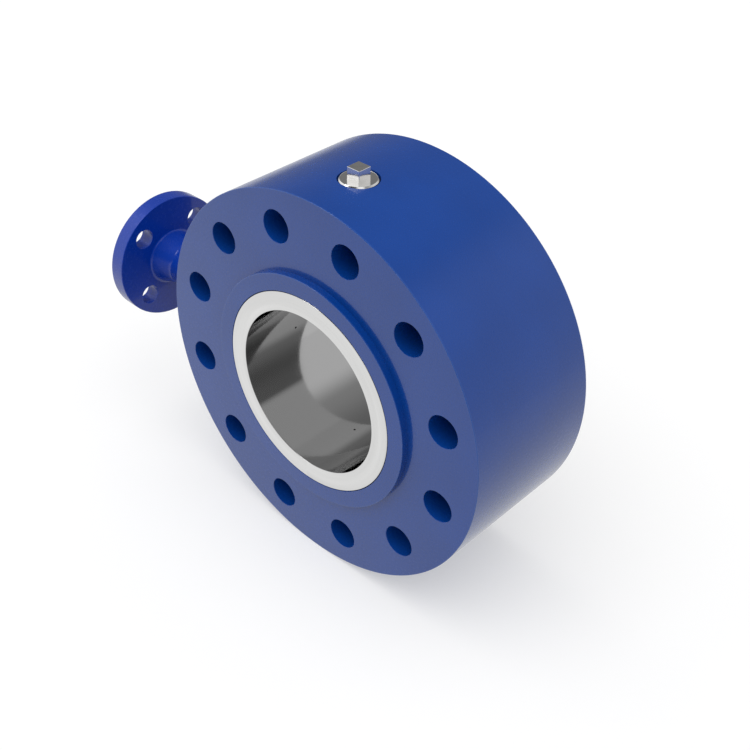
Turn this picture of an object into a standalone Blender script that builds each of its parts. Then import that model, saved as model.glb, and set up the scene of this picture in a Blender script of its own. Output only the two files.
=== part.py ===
"""Ring type steam desuperheater with a radial water inlet branch.

A thick flanged body ring is bolted between two steam pipe flanges. A polished liner ring in its
bore carries a water gallery and four spray jets. Water comes in through a weld neck flange on the
side, and a square headed plug on top gives access to the gallery.

All lengths are in metres. The origin is where the steam bore's axis meets the water inlet's axis.
+Y is the way the steam flows, +Z runs up through the plug and the water inlet points to -X.
"""

import math

import bmesh
import bpy

# Clearances
GAP = 0.0003
MERGE_DISTANCE = 0.00001
CUT_MARGIN = 0.002

# Body ring. From the bore outwards its walls add up to a raised face 215.9 mm across, a bolt circle
# of 292.1 mm and an outside of 355.6 mm, as on an NPS 6 Class 600 pipe flange.
BODY_LENGTH = 0.1372
BODY_EDGE = 0.0005
FACE_WIDTH = 0.00865
FACE_HEIGHT = 0.0064
UPSTREAM_LENGTH = 0.060
BOLT_COUNT = 12
BOLT_HOLE_RADIUS = 0.0143
FACE_TO_BOLTS = 0.0381
BOLTS_TO_RIM = 0.03175

# Spray liner
STEAM_BORE_RADIUS = 0.075
LINER_WALL = 0.017
LINER_CLEARANCE = 0.0006
LINER_EDGE = 0.0004
GALLERY_WIDTH = 0.032
GALLERY_DEPTH = 0.007
SHOULDER_SETBACK = 0.038
SHOULDER_HEIGHT = 0.007
LINER_TAIL_WALL = 0.005

# Seals between the liner and the body
PACKING_WIDTH = 0.006
PACKING_DEPTH = 0.004
PACKING_LAND = 0.009
GASKET_THICKNESS = 0.002

# Ring that holds the liner in, with its spanner holes and lock screws
RETAINER_THICKNESS = 0.014
SPANNER_HOLE_COUNT = 4
SPANNER_HOLE_RADIUS = 0.004
SPANNER_HOLE_DEPTH = 0.008
LOCK_SCREW_RADIUS = 0.003
LOCK_SCREW_LAND = 0.0014
LOCK_SCREW_SINK = 0.0006
LOCK_SCREW_ANGLES = {"lower": 52.5, "upper": 232.5}
LOCK_SOCKET_RADIUS = 0.0017
LOCK_SOCKET_DEPTH = 0.004

# Dowel that stops the liner from turning
DOWEL_RADIUS = 0.002
DOWEL_LENGTH = 0.016
DOWEL_ANGLE = 142.5

# Spray jets, one on each quarter of the gallery
JET_ANGLES = {"right": 0.0, "top": 90.0, "left": 180.0, "bottom": 270.0}
JET_ORIFICE_RADIUS = 0.001
JET_SHANK_RADIUS = 0.0059
JET_WEB = 0.0026
JET_HEAD_HALF_WIDTH = 0.008
JET_HEAD_HEIGHT = 0.004
JET_ENTRY_RADIUS = 0.0028
JET_THROAT_LENGTH = 0.0031
JET_SEAT_CLEARANCE = 0.0006
JET_SEAT_DEPTH = 0.00026
JET_WASHER_MARGIN = 0.001
JET_WASHER_THICKNESS = 0.001

# Water inlet branch. From the bore outwards its walls add up to a raised face 50.8 mm across, a
# bolt circle of 88.9 mm and an outside of 124 mm, as on an NPS 1 Class 300 pipe flange.
NECK_BORE_RADIUS = 0.0136
NECK_WALL = 0.0061
NECK_SOCKET_DEPTH = 0.0075
HUB_FLARE = 0.0093
HUB_LENGTH = 0.0208
HUB_FILLET_RADIUS = 0.004
HUB_TO_BOLTS = 0.01545
INLET_BOLT_COUNT = 4
INLET_BOLT_HOLE_RADIUS = 0.00955
INLET_BOLTS_TO_RIM = 0.01755
INLET_STANDOFF = 0.0909
INLET_FLANGE_THICKNESS = 0.0159
INLET_FLANGE_EDGE = 0.0005
INLET_FACE_WIDTH = 0.0081
INLET_FACE_HEIGHT = 0.0016
BUTT_WELD_WIDTH = 0.004
BUTT_WELD_CROWN = 0.0005
FILLET_WELD_LEG = 0.007

# Thermal sleeve inside the branch
SLEEVE_CLEARANCE = 0.0009
SLEEVE_WALL = 0.0027
SLEEVE_END_GAP = 0.0045
SLEEVE_COLLAR_WIDTH = 0.0034
SLEEVE_COLLAR_THICKNESS = 0.003

# Access plug and its seat
PLUG_HEAD_WIDTH = 0.013
PLUG_HEAD_HEIGHT = 0.0098
PLUG_HEAD_EDGE = 0.0007
PLUG_COLLAR_WIDTH = 0.0028
PLUG_COLLAR_THICKNESS = 0.0045
PLUG_COLLAR_EDGE = 0.001
PLUG_COLLAR_RISE = 0.0002
PLUG_THREAD_RADIUS = 0.0132
PLUG_THREAD_LENGTH = 0.020
PLUG_NECK_DEPTH = 0.0012
PLUG_NECK_LENGTH = 0.0025
PLUG_TIP_EDGE = 0.0015
PLUG_WASHER_THICKNESS = 0.0015
PLUG_SEAT_CLEARANCE = 0.0013
PLUG_TAP_RUNOUT = 0.004
PLUG_PORT_STEP = 0.0022

# Smoothness of round shapes
BODY_STEPS = 72
FLANGE_STEPS = 48
PIPE_STEPS = 28
HOLE_STEPS = 26
SMALL_STEPS = 16
FILLET_STEPS = 4
SHARP_ANGLE = math.radians(30.0)

# Places along the steam axis
FRONT_RAISED_FACE = -UPSTREAM_LENGTH
FRONT_FACE = FRONT_RAISED_FACE + FACE_HEIGHT
BACK_FACE = FRONT_FACE + BODY_LENGTH
BACK_RAISED_FACE = BACK_FACE + FACE_HEIGHT
BODY_SHOULDER = BACK_RAISED_FACE - SHOULDER_SETBACK
LINER_SHOULDER = BODY_SHOULDER + GASKET_THICKNESS + 2.0 * GAP
RETAINER_FACE = BACK_RAISED_FACE - RETAINER_THICKNESS
LOCK_SCREW_TIP = RETAINER_FACE + LOCK_SCREW_LAND
LOCK_SCREW_TOP = BACK_RAISED_FACE - LOCK_SCREW_SINK
PACKING_OFFSET = 0.5 * GALLERY_WIDTH + PACKING_LAND + 0.5 * PACKING_WIDTH

# Radii about the steam axis
LINER_RADIUS = STEAM_BORE_RADIUS + LINER_WALL
BODY_BORE_RADIUS = LINER_RADIUS + LINER_CLEARANCE
SHOULDER_RADIUS = LINER_RADIUS + SHOULDER_HEIGHT
BODY_REAR_BORE_RADIUS = SHOULDER_RADIUS + GAP
FACE_RADIUS = BODY_REAR_BORE_RADIUS + FACE_WIDTH
BOLT_CIRCLE_RADIUS = FACE_RADIUS + FACE_TO_BOLTS
BODY_RADIUS = BOLT_CIRCLE_RADIUS + BOLTS_TO_RIM
TAIL_RADIUS = STEAM_BORE_RADIUS + LINER_TAIL_WALL
GALLERY_FLOOR_RADIUS = LINER_RADIUS - GALLERY_DEPTH
DOWEL_CIRCLE_RADIUS = 0.5 * (BODY_BORE_RADIUS + BODY_REAR_BORE_RADIUS)
SPANNER_CIRCLE_RADIUS = 0.5 * (TAIL_RADIUS + SHOULDER_RADIUS)

# Radii about a jet's axis
JET_WASHER_RADIUS = JET_HEAD_HALF_WIDTH + JET_WASHER_MARGIN
JET_SEAT_RADIUS = JET_WASHER_RADIUS + JET_SEAT_CLEARANCE

# Heights along a jet's axis, measured from the steam axis
JET_SEAT = math.sqrt(GALLERY_FLOOR_RADIUS ** 2 - JET_SEAT_RADIUS ** 2) - JET_SEAT_DEPTH
JET_WASHER_BASE = JET_SEAT + GAP
JET_HEAD_BASE = JET_WASHER_BASE + JET_WASHER_THICKNESS + GAP
JET_HEAD_TOP = JET_HEAD_BASE + JET_HEAD_HEIGHT
JET_POCKET_FLOOR = STEAM_BORE_RADIUS + JET_WEB
JET_TIP = JET_POCKET_FLOOR + GAP

# Radii about the water axis
NECK_RADIUS = NECK_BORE_RADIUS + NECK_WALL
HUB_BASE_RADIUS = NECK_RADIUS + HUB_FLARE
INLET_BOLT_CIRCLE_RADIUS = HUB_BASE_RADIUS + HUB_TO_BOLTS
INLET_FLANGE_RADIUS = INLET_BOLT_CIRCLE_RADIUS + INLET_BOLTS_TO_RIM
SLEEVE_RADIUS = NECK_BORE_RADIUS - SLEEVE_CLEARANCE
SLEEVE_COLLAR_RADIUS = NECK_BORE_RADIUS + SLEEVE_COLLAR_WIDTH
INLET_FACE_RADIUS = SLEEVE_COLLAR_RADIUS + GAP + INLET_FACE_WIDTH

# Distances along the water axis, measured from the steam axis
INLET_FACE_DISTANCE = BODY_RADIUS + INLET_STANDOFF
INLET_RIM_OUTER = INLET_FACE_DISTANCE - INLET_FACE_HEIGHT
INLET_RIM_INNER = INLET_RIM_OUTER - INLET_FLANGE_THICKNESS
HUB_END = INLET_RIM_INNER - HUB_LENGTH
HUB_WELD_FACE = HUB_END + 0.5 * BUTT_WELD_WIDTH
NECK_WELD_FACE = HUB_END - 0.5 * BUTT_WELD_WIDTH
NECK_SOCKET_FLOOR = BODY_RADIUS - NECK_SOCKET_DEPTH
SLEEVE_SEAT = INLET_FACE_DISTANCE - SLEEVE_COLLAR_THICKNESS - GAP
SLEEVE_TIP = BODY_BORE_RADIUS + SLEEVE_END_GAP

# Radii about the plug's axis
PLUG_COLLAR_RADIUS = PLUG_THREAD_RADIUS + PLUG_COLLAR_WIDTH
PLUG_SEAT_RADIUS = PLUG_COLLAR_RADIUS + PLUG_SEAT_CLEARANCE
PLUG_PORT_RADIUS = PLUG_THREAD_RADIUS - PLUG_PORT_STEP

# Heights along the plug's axis, measured from the steam axis
PLUG_COLLAR_TOP = BODY_RADIUS + PLUG_COLLAR_RISE
PLUG_COLLAR_BASE = PLUG_COLLAR_TOP - PLUG_COLLAR_THICKNESS
PLUG_WASHER_TOP = PLUG_COLLAR_BASE - GAP
PLUG_SEAT = PLUG_WASHER_TOP - PLUG_WASHER_THICKNESS - GAP
PLUG_TIP = PLUG_COLLAR_BASE - PLUG_THREAD_LENGTH
PLUG_TAP_FLOOR = PLUG_TIP - PLUG_TAP_RUNOUT
PLUG_HEAD_TOP = PLUG_COLLAR_TOP + PLUG_HEAD_HEIGHT


def clear_scene():
    """Remove every object, so that the script can be run again in the same file."""
    for item in list(bpy.data.objects):
        bpy.data.objects.remove(item, do_unlink=True)


def make_material(name, colour, roughness, metallic):
    """Make a Principled material with one colour all over."""
    material = bpy.data.materials.new(name)
    material.use_nodes = True
    material.diffuse_color = (*colour, 1.0)
    shader = material.node_tree.nodes["Principled BSDF"]
    shader.inputs["Base Color"].default_value = (*colour, 1.0)
    shader.inputs["Roughness"].default_value = roughness
    shader.inputs["Metallic"].default_value = metallic
    return material


def make_materials():
    """Make the finishes of the object, by name."""
    return {
        "blue_paint": make_material("blue_paint", (0.030, 0.075, 0.285), 0.22, 0.0),
        "polished_steel": make_material("polished_steel", (0.62, 0.62, 0.61), 0.12, 1.0),
        "turned_steel": make_material("turned_steel", (0.50, 0.50, 0.50), 0.32, 1.0),
        "graphite": make_material("graphite", (0.045, 0.045, 0.048), 0.60, 0.0),
        "copper": make_material("copper", (0.72, 0.33, 0.18), 0.35, 1.0),
        "dark_steel": make_material("dark_steel", (0.10, 0.10, 0.105), 0.45, 1.0),
    }


def steam_axis():
    """Make the empty whose Z axis is the way the steam flows."""
    empty = bpy.data.objects.new("steam_axis", None)
    empty.rotation_euler = (-0.5 * math.pi, 0.0, 0.0)
    bpy.context.collection.objects.link(empty)
    return empty


def radial_axis(name, degrees):
    """Make an empty whose Z axis points away from the steam axis, at an angle from +X to +Z."""
    empty = bpy.data.objects.new(name, None)
    empty.rotation_euler = (0.0, 0.5 * math.pi - math.radians(degrees), 0.0)
    bpy.context.collection.objects.link(empty)
    return empty


def place(name, bm, axis, material=None):
    """Turn a bmesh into an object on an axis. Without a material it is a hidden cutter."""
    bmesh.ops.recalc_face_normals(bm, faces=bm.faces)
    mesh = bpy.data.meshes.new(name)
    bm.to_mesh(mesh)
    bm.free()
    piece = bpy.data.objects.new(name, mesh)
    piece.parent = axis
    bpy.context.collection.objects.link(piece)
    if material is None:
        piece.hide_render = True
        piece.display_type = "WIRE"
    else:
        mesh.materials.append(material)
        mesh.shade_smooth()
        mesh.set_sharp_from_angle(angle=SHARP_ANGLE)
    return piece


def turned(outline, steps):
    """Spin an outline of (radius, height) points about Z. It is closed unless it ends on the axis."""
    bm = bmesh.new()
    verts = [bm.verts.new((radius, 0.0, height)) for radius, height in outline]
    edges = [bm.edges.new(pair) for pair in zip(verts, verts[1:])]
    if outline[0][0] > 0.0:
        edges.append(bm.edges.new((verts[-1], verts[0])))
    bmesh.ops.spin(
        bm, geom=verts + edges, cent=(0.0, 0.0, 0.0), axis=(0.0, 0.0, 1.0),
        angle=2.0 * math.pi, steps=steps, use_merge=True,
    )
    bmesh.ops.remove_doubles(bm, verts=bm.verts, dist=MERGE_DISTANCE)
    return bm


def tube(inner_radius, outer_radius, low, high, steps):
    """Make a plain ring or tube about Z."""
    outline = [(inner_radius, low), (outer_radius, low), (outer_radius, high), (inner_radius, high)]
    return turned(outline, steps)


def add_rod(bm, radius, low, high, steps, centre=(0.0, 0.0), turn=0.0):
    """Add a solid rod, parallel to Z, to a bmesh. Few steps make a square or a hexagon."""
    made = bmesh.ops.create_cone(
        bm, cap_ends=True, cap_tris=False, segments=steps,
        radius1=radius, radius2=radius, depth=high - low,
    )
    spin = [math.cos(turn), math.sin(turn)]
    for vert in made["verts"]:
        x, y, z = vert.co
        vert.co.x = centre[0] + spin[0] * x - spin[1] * y
        vert.co.y = centre[1] + spin[1] * x + spin[0] * y
        vert.co.z = z + 0.5 * (low + high)


def rod(radius, low, high, steps, centre=(0.0, 0.0), turn=0.0):
    """Make one solid rod parallel to Z."""
    bm = bmesh.new()
    add_rod(bm, radius, low, high, steps, centre, turn)
    return bm


def on_circle(radius, degrees):
    """Return the (x, y) place on a circle at an angle."""
    angle = math.radians(degrees)
    return radius * math.cos(angle), radius * math.sin(angle)


def rods_on_circle(circle_radius, angles, radius, low, high, steps):
    """Make a rod at each angle of a circle, all in one bmesh."""
    bm = bmesh.new()
    for degrees in angles:
        add_rod(bm, radius, low, high, steps, on_circle(circle_radius, degrees))
    return bm


def even_angles(count):
    """Return angles that share a circle evenly and stand off its main axes by half a step."""
    step = 360.0 / count
    return [step * (index + 0.5) for index in range(count)]


def rounded_corner(corner, before, after, radius, steps):
    """Return the points of an arc that rounds the corner between two outline neighbours."""
    to_before = (before[0] - corner[0], before[1] - corner[1])
    to_after = (after[0] - corner[0], after[1] - corner[1])
    angle_before = math.atan2(to_before[1], to_before[0])
    angle_after = math.atan2(to_after[1], to_after[0])
    opening = (angle_after - angle_before + math.pi) % (2.0 * math.pi) - math.pi
    middle = angle_before + 0.5 * opening
    half = 0.5 * abs(opening)
    reach = radius / math.sin(half)
    centre = (corner[0] + reach * math.cos(middle), corner[1] + reach * math.sin(middle))
    sweep = math.copysign(0.5 * math.pi - half, opening)
    points = []
    for index in range(steps + 1):
        angle = middle + math.pi + sweep - 2.0 * sweep * index / steps
        points.append((centre[0] + radius * math.cos(angle), centre[1] + radius * math.sin(angle)))
    return points


def change(piece, tool, operation="DIFFERENCE"):
    """Cut a piece with a tool object, or join the tool to it."""
    modifier = piece.modifiers.new(tool.name, "BOOLEAN")
    modifier.operation = operation
    modifier.solver = "EXACT"
    modifier.object = tool


def settle(piece):
    """Replace a piece's mesh by its modified one, and shade its true edges sharp."""
    depsgraph = bpy.context.evaluated_depsgraph_get()
    mesh = bpy.data.meshes.new_from_object(piece.evaluated_get(depsgraph))
    piece.modifiers.clear()
    mesh.name = piece.name
    piece.data = mesh
    mesh.shade_smooth()
    mesh.set_sharp_from_angle(angle=SHARP_ANGLE)


def lock_screw_holes(steam):
    """Make the cutter for the lock screws, half in the body and half in the retaining ring."""
    holes = rods_on_circle(
        BODY_REAR_BORE_RADIUS, LOCK_SCREW_ANGLES.values(), LOCK_SCREW_RADIUS + GAP,
        LOCK_SCREW_TIP - GAP, BACK_RAISED_FACE + CUT_MARGIN, SMALL_STEPS,
    )
    return place("lock_screw_holes", holes, steam)


def dowel_hole(steam):
    """Make the cutter for the dowel, through the gasket and into the body and the liner."""
    low, high = dowel_span()
    hole = rod(
        DOWEL_RADIUS + GAP, low - GAP, high + GAP, SMALL_STEPS,
        on_circle(DOWEL_CIRCLE_RADIUS, DOWEL_ANGLE),
    )
    return place("dowel_hole", hole, steam)


def dowel_span():
    """Return where the dowel begins and ends along the steam axis."""
    middle = 0.5 * (BODY_SHOULDER + LINER_SHOULDER)
    return middle - 0.5 * DOWEL_LENGTH, middle + 0.5 * DOWEL_LENGTH


def body_ring(steam, water, plug, material):
    """Make the thick flanged ring, bored for the liner, the bolts, the branch and the plug."""
    outline = [
        (FACE_RADIUS, FRONT_FACE),
        (BODY_RADIUS - BODY_EDGE, FRONT_FACE),
        (BODY_RADIUS, FRONT_FACE + BODY_EDGE),
        (BODY_RADIUS, BACK_FACE - BODY_EDGE),
        (BODY_RADIUS - BODY_EDGE, BACK_FACE),
        (FACE_RADIUS, BACK_FACE),
        (FACE_RADIUS, BACK_RAISED_FACE),
        (BODY_REAR_BORE_RADIUS, BACK_RAISED_FACE),
        (BODY_REAR_BORE_RADIUS, BODY_SHOULDER),
        (BODY_BORE_RADIUS, BODY_SHOULDER),
        (BODY_BORE_RADIUS, FRONT_RAISED_FACE),
        (FACE_RADIUS, FRONT_RAISED_FACE),
    ]
    piece = place("body_ring", turned(outline, BODY_STEPS), steam, material)

    bolt_holes = rods_on_circle(
        BOLT_CIRCLE_RADIUS, even_angles(BOLT_COUNT), BOLT_HOLE_RADIUS,
        FRONT_FACE - CUT_MARGIN, BACK_FACE + CUT_MARGIN, HOLE_STEPS,
    )
    change(piece, place("bolt_holes", bolt_holes, steam))

    outside = BODY_RADIUS + CUT_MARGIN
    inside = BODY_BORE_RADIUS - CUT_MARGIN
    water_port = turned([
        (0.0, inside),
        (NECK_BORE_RADIUS, inside),
        (NECK_BORE_RADIUS, NECK_SOCKET_FLOOR),
        (NECK_RADIUS + GAP, NECK_SOCKET_FLOOR),
        (NECK_RADIUS + GAP, outside),
        (0.0, outside),
    ], PIPE_STEPS)
    change(piece, place("water_port", water_port, water))

    plug_port = turned([
        (0.0, inside),
        (PLUG_PORT_RADIUS, inside),
        (PLUG_PORT_RADIUS, PLUG_TAP_FLOOR),
        (PLUG_THREAD_RADIUS + GAP, PLUG_TAP_FLOOR),
        (PLUG_THREAD_RADIUS + GAP, PLUG_SEAT),
        (PLUG_SEAT_RADIUS, PLUG_SEAT),
        (PLUG_SEAT_RADIUS, outside),
        (0.0, outside),
    ], PIPE_STEPS)
    change(piece, place("plug_port", plug_port, plug))
    return piece


def packing_groove(centre):
    """Return the outline points of a packing groove, cut into the liner's outer face."""
    floor = LINER_RADIUS - PACKING_DEPTH
    low = centre - 0.5 * PACKING_WIDTH
    high = centre + 0.5 * PACKING_WIDTH
    return [(LINER_RADIUS, low), (floor, low), (floor, high), (LINER_RADIUS, high)]


def liner_ring(steam, jet_axes, material):
    """Make the polished ring that forms the steam bore and carries the jets."""
    half_gallery = 0.5 * GALLERY_WIDTH
    outline = [
        (STEAM_BORE_RADIUS, FRONT_RAISED_FACE + LINER_EDGE),
        (STEAM_BORE_RADIUS + LINER_EDGE, FRONT_RAISED_FACE),
        (LINER_RADIUS - LINER_EDGE, FRONT_RAISED_FACE),
        (LINER_RADIUS, FRONT_RAISED_FACE + LINER_EDGE),
    ]
    outline += packing_groove(-PACKING_OFFSET)
    outline += [
        (LINER_RADIUS, -half_gallery),
        (GALLERY_FLOOR_RADIUS, -half_gallery),
        (GALLERY_FLOOR_RADIUS, half_gallery),
        (LINER_RADIUS, half_gallery),
    ]
    outline += packing_groove(PACKING_OFFSET)
    outline += [
        (LINER_RADIUS, LINER_SHOULDER),
        (SHOULDER_RADIUS, LINER_SHOULDER),
        (SHOULDER_RADIUS, RETAINER_FACE),
        (TAIL_RADIUS, RETAINER_FACE),
        (TAIL_RADIUS, BACK_RAISED_FACE - LINER_EDGE),
        (TAIL_RADIUS - LINER_EDGE, BACK_RAISED_FACE),
        (STEAM_BORE_RADIUS + LINER_EDGE, BACK_RAISED_FACE),
        (STEAM_BORE_RADIUS, BACK_RAISED_FACE - LINER_EDGE),
    ]
    piece = place("liner_ring", turned(outline, BODY_STEPS), steam, material)

    for side, axis in jet_axes.items():
        pocket = turned([
            (0.0, STEAM_BORE_RADIUS - CUT_MARGIN),
            (JET_ORIFICE_RADIUS, STEAM_BORE_RADIUS - CUT_MARGIN),
            (JET_ORIFICE_RADIUS, JET_POCKET_FLOOR),
            (JET_SHANK_RADIUS + GAP, JET_POCKET_FLOOR),
            (JET_SHANK_RADIUS + GAP, JET_SEAT),
            (JET_SEAT_RADIUS, JET_SEAT),
            (JET_SEAT_RADIUS, LINER_RADIUS - CUT_MARGIN),
            (0.0, LINER_RADIUS - CUT_MARGIN),
        ], SMALL_STEPS)
        change(piece, place("jet_pocket_" + side, pocket, axis))
    return piece


def spray_jet(side, axis, material):
    """Make a hexagon headed jet with a wide entry and a fine orifice."""
    corner_radius = JET_HEAD_HALF_WIDTH / math.cos(math.pi / 6.0)
    throat_top = JET_TIP + JET_THROAT_LENGTH
    outline = [
        (JET_ORIFICE_RADIUS, JET_TIP),
        (JET_SHANK_RADIUS, JET_TIP),
        (JET_SHANK_RADIUS, JET_HEAD_BASE),
        (corner_radius, JET_HEAD_BASE),
        (corner_radius, JET_HEAD_TOP),
        (JET_ENTRY_RADIUS, JET_HEAD_TOP),
        (JET_ENTRY_RADIUS, throat_top + JET_ENTRY_RADIUS - JET_ORIFICE_RADIUS),
        (JET_ORIFICE_RADIUS, throat_top),
    ]
    piece = place("spray_jet_" + side, turned(outline, SMALL_STEPS), axis, material)
    flats = tube(
        corner_radius, 2.0 * corner_radius,
        JET_HEAD_BASE - 0.5 * JET_WASHER_THICKNESS, JET_HEAD_TOP + CUT_MARGIN, 6,
    )
    change(piece, place("jet_flats_" + side, flats, axis))
    return piece


def lock_screw(name, degrees, steam, material):
    """Make one socket set screw that locks the retaining ring."""
    centre = on_circle(BODY_REAR_BORE_RADIUS, degrees)
    screw = rod(LOCK_SCREW_RADIUS, LOCK_SCREW_TIP, LOCK_SCREW_TOP, SMALL_STEPS, centre)
    piece = place(name, screw, steam, material)
    socket = rod(
        LOCK_SOCKET_RADIUS, LOCK_SCREW_TOP - LOCK_SOCKET_DEPTH, LOCK_SCREW_TOP + CUT_MARGIN, 6, centre,
    )
    change(piece, place(name + "_socket", socket, steam))
    return piece


def retaining_ring(steam, material):
    """Make the threaded ring behind the liner, with blind holes for a pin spanner."""
    piece = place("retaining_ring", tube(
        TAIL_RADIUS + GAP, SHOULDER_RADIUS, RETAINER_FACE + GAP, BACK_RAISED_FACE, BODY_STEPS,
    ), steam, material)
    spanner_holes = rods_on_circle(
        SPANNER_CIRCLE_RADIUS, even_angles(SPANNER_HOLE_COUNT), SPANNER_HOLE_RADIUS,
        BACK_RAISED_FACE - SPANNER_HOLE_DEPTH, BACK_RAISED_FACE + CUT_MARGIN, SMALL_STEPS,
    )
    change(piece, place("spanner_holes", spanner_holes, steam))
    return piece


def inlet_flange(water, material):
    """Make the weld neck flange: a rim with a raised face, and a hub that tapers to the neck."""
    taper = (HUB_BASE_RADIUS - NECK_RADIUS) / HUB_LENGTH
    weld_radius = NECK_RADIUS + taper * (HUB_WELD_FACE - HUB_END)
    hub_end = (weld_radius, HUB_WELD_FACE)
    hub_corner = (HUB_BASE_RADIUS, INLET_RIM_INNER)
    rim_corner = (INLET_FLANGE_RADIUS - INLET_FLANGE_EDGE, INLET_RIM_INNER)
    outline = [(NECK_BORE_RADIUS, HUB_WELD_FACE), hub_end]
    outline += rounded_corner(hub_corner, hub_end, rim_corner, HUB_FILLET_RADIUS, FILLET_STEPS)
    outline += [
        rim_corner,
        (INLET_FLANGE_RADIUS, INLET_RIM_INNER + INLET_FLANGE_EDGE),
        (INLET_FLANGE_RADIUS, INLET_RIM_OUTER - INLET_FLANGE_EDGE),
        (INLET_FLANGE_RADIUS - INLET_FLANGE_EDGE, INLET_RIM_OUTER),
        (INLET_FACE_RADIUS, INLET_RIM_OUTER),
        (INLET_FACE_RADIUS, INLET_FACE_DISTANCE),
        (SLEEVE_COLLAR_RADIUS + GAP, INLET_FACE_DISTANCE),
        (SLEEVE_COLLAR_RADIUS + GAP, SLEEVE_SEAT),
        (NECK_BORE_RADIUS, SLEEVE_SEAT),
    ]
    piece = place("inlet_flange", turned(outline, FLANGE_STEPS), water, material)
    bolt_holes = rods_on_circle(
        INLET_BOLT_CIRCLE_RADIUS, even_angles(INLET_BOLT_COUNT), INLET_BOLT_HOLE_RADIUS,
        INLET_RIM_INNER - CUT_MARGIN, INLET_RIM_OUTER + CUT_MARGIN, HOLE_STEPS,
    )
    change(piece, place("inlet_bolt_holes", bolt_holes, water))
    return piece


def inlet_butt_weld(water, material):
    """Make the weld between the hub and the neck, with a low crown."""
    low = NECK_WELD_FACE + GAP
    high = HUB_WELD_FACE - GAP
    outline = [
        (NECK_BORE_RADIUS, low),
        (NECK_RADIUS, low),
        (NECK_RADIUS + BUTT_WELD_CROWN, 0.5 * (low + high)),
        (NECK_RADIUS + BUTT_WELD_CROWN, high),
        (NECK_BORE_RADIUS, high),
    ]
    return place("inlet_butt_weld", turned(outline, PIPE_STEPS), water, material)


def neck_fillet_weld(steam, water, material):
    """Make the weld around the neck, trimmed to lie on the body's round outside."""
    inner = NECK_RADIUS + GAP
    outer = inner + FILLET_WELD_LEG
    top = BODY_RADIUS + FILLET_WELD_LEG
    foot = BODY_RADIUS - NECK_SOCKET_DEPTH + CUT_MARGIN
    outline = [
        (inner, foot),
        (inner, top),
        (inner + 0.15 * FILLET_WELD_LEG, top),
        (inner + 0.60 * FILLET_WELD_LEG, BODY_RADIUS + 0.45 * FILLET_WELD_LEG),
        (outer, BODY_RADIUS),
        (outer, foot),
    ]
    piece = place("neck_fillet_weld", turned(outline, PIPE_STEPS), water, material)
    body_shape = rod(BODY_RADIUS + GAP, FRONT_FACE, BACK_FACE, BODY_STEPS)
    change(piece, place("body_shape", body_shape, steam))
    return piece


def thermal_sleeve(water, material):
    """Make the sleeve that keeps cold water off the hot branch, with its clamping collar."""
    bore = SLEEVE_RADIUS - SLEEVE_WALL
    outline = [
        (bore, SLEEVE_TIP),
        (SLEEVE_RADIUS, SLEEVE_TIP),
        (SLEEVE_RADIUS, SLEEVE_SEAT + GAP),
        (SLEEVE_COLLAR_RADIUS, SLEEVE_SEAT + GAP),
        (SLEEVE_COLLAR_RADIUS, INLET_FACE_DISTANCE),
        (bore, INLET_FACE_DISTANCE),
    ]
    return place("thermal_sleeve", turned(outline, PIPE_STEPS), water, material)


def access_plug(plug, material):
    """Make the screw plug: a threaded shank, a round collar and a square head."""
    neck_radius = PLUG_THREAD_RADIUS - PLUG_NECK_DEPTH
    outline = [
        (0.0, PLUG_TIP),
        (PLUG_THREAD_RADIUS - PLUG_TIP_EDGE, PLUG_TIP),
        (PLUG_THREAD_RADIUS, PLUG_TIP + PLUG_TIP_EDGE),
        (PLUG_THREAD_RADIUS, PLUG_COLLAR_BASE - PLUG_NECK_LENGTH - PLUG_NECK_DEPTH),
        (neck_radius, PLUG_COLLAR_BASE - PLUG_NECK_LENGTH),
        (neck_radius, PLUG_COLLAR_BASE),
        (PLUG_COLLAR_RADIUS, PLUG_COLLAR_BASE),
        (PLUG_COLLAR_RADIUS, PLUG_COLLAR_TOP - PLUG_COLLAR_EDGE),
        (PLUG_COLLAR_RADIUS - PLUG_COLLAR_EDGE, PLUG_COLLAR_TOP),
        (0.0, PLUG_COLLAR_TOP),
    ]
    piece = place("access_plug", turned(outline, PIPE_STEPS), plug, material)
    corner_radius = PLUG_HEAD_WIDTH / math.sqrt(2.0)
    head = bmesh.new()
    sunk = PLUG_COLLAR_TOP - 0.5 * PLUG_COLLAR_THICKNESS
    add_rod(head, corner_radius, sunk, PLUG_HEAD_TOP, 4, turn=0.25 * math.pi)
    top_edges = [
        edge for edge in head.edges
        if all(abs(vert.co.z - PLUG_HEAD_TOP) < MERGE_DISTANCE for vert in edge.verts)
    ]
    bmesh.ops.bevel(head, geom=top_edges, offset=PLUG_HEAD_EDGE, segments=1, affect="EDGES")
    change(piece, place("plug_head", head, plug), "UNION")
    return piece


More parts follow.
